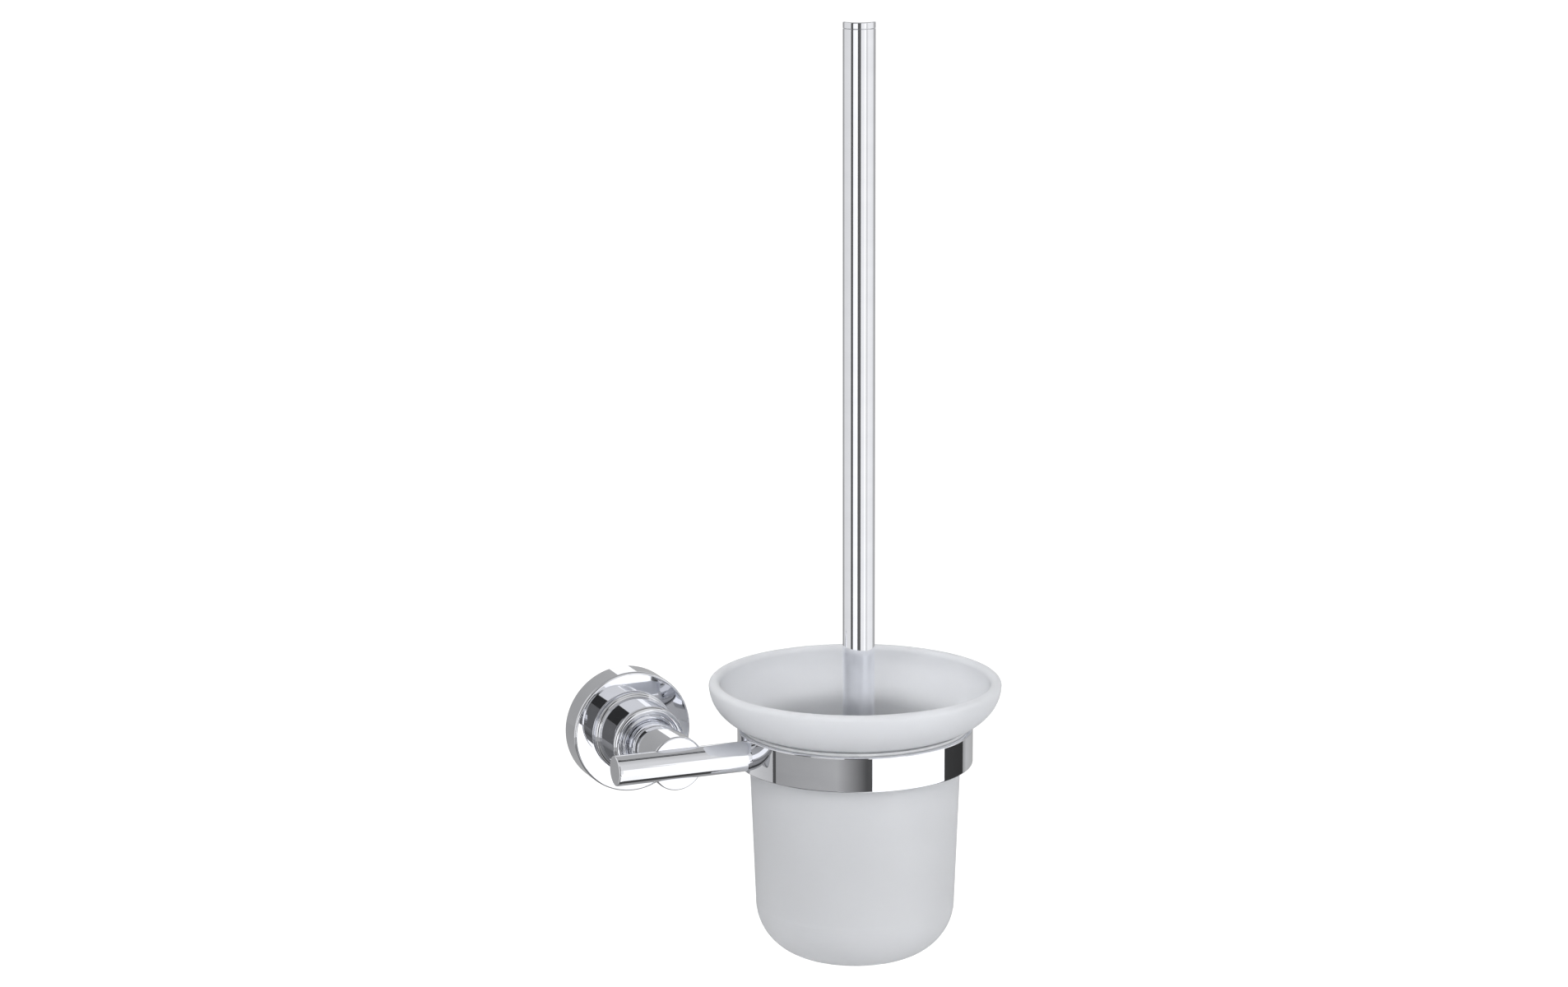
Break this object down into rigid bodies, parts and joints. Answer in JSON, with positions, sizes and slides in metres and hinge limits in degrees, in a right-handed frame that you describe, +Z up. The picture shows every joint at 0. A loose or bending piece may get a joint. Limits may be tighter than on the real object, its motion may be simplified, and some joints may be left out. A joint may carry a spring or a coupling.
{
  "type": "wall-mounted toilet brush holder",
  "caption": "Wall flange with a short post and cross rod that carries a ring, a frosted glass cup with a flared rim, and a brush on a long straight tube.",
  "frame": {"origin": "centre of the wall plate's back face, on the wall", "axes": "+Y into the wall, +Z up along the brush handle, +X from the wall flange towards the ring"},
  "size_m": [0.1636, 0.1458, 0.381],
  "materials": {
    "chrome": "polished chrome plate",
    "steel": "zinc-plated",
    "zinc": "plain cast zinc",
    "nylon": "moulded nylon",
    "liner": "translucent soft plastic",
    "frosted_glass": "acid-etched, satin",
    "hub_plastic": "moulded, satin",
    "bristle": "nylon filament"
  },
  "bodies": {
    "holder": {"wall_plate": "zinc", "wall_screw_upper": "steel", "wall_screw_lower": "steel", "wall_plug_upper": "nylon", "wall_plug_lower": "nylon", "flange_cover": "chrome", "grub_screw": "steel", "drum": "chrome", "post": "chrome", "tie_bolt": "steel", "tie_washer": "steel", "arm_rod": "chrome", "cup_ring": "chrome", "ring_screw": "steel", "ring_liner": "liner"},
    "cup": {"glass_cup": "frosted_glass"},
    "brush_handle": {"handle_tube": "chrome", "handle_cap": "chrome", "handle_insert": "steel"},
    "brush_head": {"brush_hub": "hub_plastic", "bristles": "bristle"}
  },
  "joints": [
    {"name": "cup_lift", "type": "slide", "parent": "holder", "child": "cup", "axis": [0, 0, 1], "range_m": [0, 0.1]},
    {"name": "brush_lift", "type": "slide", "parent": "cup", "child": "brush_handle", "axis": [0, 0, 1], "range_m": [0, 0.115]},
    {"name": "head_unscrew", "type": "hinge", "parent": "brush_handle", "child": "brush_head", "pos_m": [0.0789, -0.064, -0.01], "axis": [0, 0, -1], "range_deg": [0, 1800]}
  ]
}
